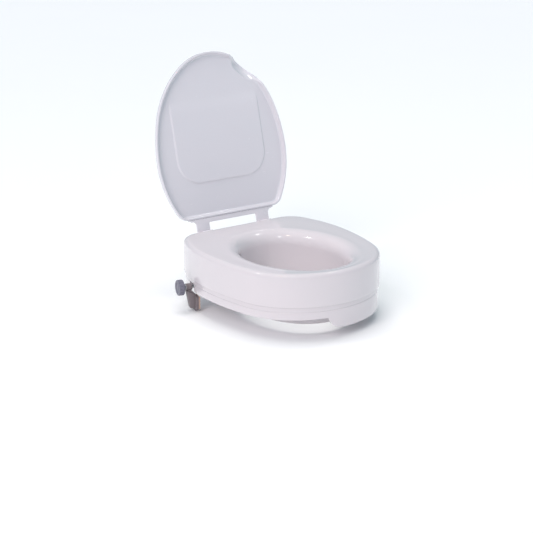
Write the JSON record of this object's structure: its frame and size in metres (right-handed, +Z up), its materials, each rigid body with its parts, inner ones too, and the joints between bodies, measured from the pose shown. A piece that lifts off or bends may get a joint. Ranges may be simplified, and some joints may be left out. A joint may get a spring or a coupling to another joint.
{
  "type": "raised toilet seat",
  "caption": "Raised toilet seat with oval opening, stepped skirt, asymmetric front lip, hinged lid with finger lift, and screw clamps with padded jaws on both sides.",
  "frame": {"origin": "in the plane of the tray's underside, below the middle of the seat's length", "axes": "+Z up, -Y towards the rounded front, +Y towards the hinge, +X to the sitter's left"},
  "size_m": [0.423, 0.5405, 0.5258],
  "materials": {
    "seat_white": "high-gloss moulded white plastic",
    "lid_white": "gloss moulded plastic, slightly translucent cool white",
    "hinge_white": "satin white plastic",
    "clamp_grey": "satin mid-grey plastic",
    "knob_grey": "satin blue-grey plastic",
    "pad_rubber": "matte tan rubber",
    "foot_rubber": "matte brown rubber",
    "clamp_steel": "zinc-plated steel",
    "screw_steel": "stainless steel"
  },
  "bodies": {
    "seat": {"seat_shell": "seat_white", "base_tray": "seat_white", "tray_screws": "screw_steel", "hinge_pin_right": "screw_steel", "hinge_pin_left": "screw_steel", "anti_slip_pad_front_right": "foot_rubber", "anti_slip_pad_front_left": "foot_rubber", "anti_slip_pad_rear_right": "foot_rubber", "anti_slip_pad_rear_left": "foot_rubber", "clamp_nut_right": "clamp_steel", "clamp_nut_left": "clamp_steel"},
    "lid": {"lid": "lid_white", "hinge_strap": "hinge_white", "hinge_screws": "screw_steel"},
    "jaw_right": {"clamp_jaw_right": "clamp_grey", "jaw_pad_right": "pad_rubber"},
    "knob_right": {"clamp_knob_right": "knob_grey", "clamp_spindle_right": "clamp_steel", "thrust_washer_right": "clamp_steel", "retaining_clip_right": "clamp_steel"},
    "jaw_left": {"clamp_jaw_left": "clamp_grey", "jaw_pad_left": "pad_rubber"},
    "knob_left": {"clamp_knob_left": "knob_grey", "clamp_spindle_left": "clamp_steel", "thrust_washer_left": "clamp_steel", "retaining_clip_left": "clamp_steel"}
  },
  "joints": [
    {"name": "lid_hinge", "type": "hinge", "parent": "seat", "child": "lid", "pos_m": [0, 0.208, 0.0925], "axis": [1, 0, 0], "range_deg": [0, 104.9]},
    {"name": "jaw_slide_right", "type": "slide", "parent": "seat", "child": "jaw_right", "axis": [0.9744, 0.225, 0], "range_m": [-0.014, 0.009]},
    {"name": "knob_turn_right", "type": "hinge", "parent": "jaw_right", "child": "knob_right", "pos_m": [0.17521, 0.11939, 0.008], "axis": [0.9744, 0.225, 0], "range_deg": [-4040, 2600]},
    {"name": "jaw_slide_left", "type": "slide", "parent": "seat", "child": "jaw_left", "axis": [-0.9744, 0.225, 0], "range_m": [-0.014, 0.009]},
    {"name": "knob_turn_left", "type": "hinge", "parent": "jaw_left", "child": "knob_left", "pos_m": [-0.17521, 0.11939, 0.008], "axis": [-0.9744, 0.225, 0], "range_deg": [-4040, 2600]}
  ],
  "couplings": [
    {"joint": "knob_turn_right", "follows": "jaw_slide_right", "rad_per_m": 5026.5},
    {"joint": "knob_turn_left", "follows": "jaw_slide_left", "rad_per_m": 5026.5}
  ]
}
